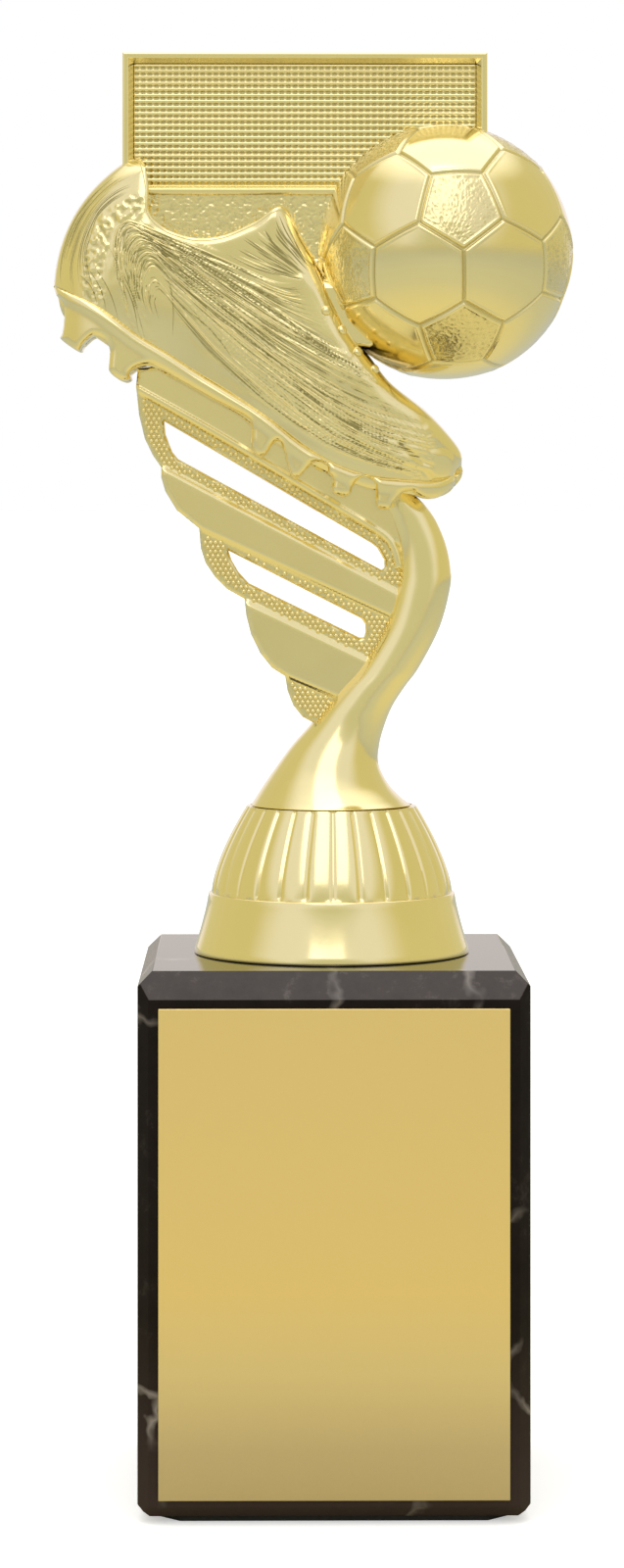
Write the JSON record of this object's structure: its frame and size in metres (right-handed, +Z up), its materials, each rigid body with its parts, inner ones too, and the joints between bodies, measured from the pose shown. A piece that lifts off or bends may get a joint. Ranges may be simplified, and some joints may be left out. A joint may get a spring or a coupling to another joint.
{
  "type": "football figure trophy",
  "caption": "Gold football trophy: boot, ball and goal net on a winged horn stem, screwed through a fluted riser to a black marble block with a blank plate.",
  "frame": {"origin": "centre of the underside of the base pad, on the surface that the trophy stands on", "axes": "+Z up, along the tie rod; the engraving plate faces -Y; +X to the right as the plate is read"},
  "size_m": [0.0894, 0.0657, 0.2456],
  "materials": {
    "gold_plastic": "vacuum-metallised gold, polished",
    "plate": "satin gold anodised",
    "marble": "polished black marble with sparse grey veins",
    "pad": "matt foam rubber",
    "tape": "double-sided tape",
    "hardware": "zinc plated",
    "bare_plastic": "unplated moulding"
  },
  "bodies": {
    "root": {"base_pad": "pad", "marble_base": "marble", "plate_tape": "tape", "engraving_plate": "plate", "tie_rod": "hardware", "base_nut": "hardware", "spring_washer": "hardware", "flat_washer": "hardware", "riser": "gold_plastic", "foot_plug": "bare_plastic", "figure_nut": "hardware", "stem_front": "gold_plastic", "stem_back": "gold_plastic", "wing_panel": "gold_plastic", "sole_front": "gold_plastic", "sole_back": "gold_plastic", "boot_front": "gold_plastic", "boot_back": "gold_plastic", "ball_front": "gold_plastic", "ball_back": "gold_plastic", "goal_frame": "gold_plastic", "goal_net": "gold_plastic", "backing_plate": "gold_plastic"}
  },
  "joints": []
}
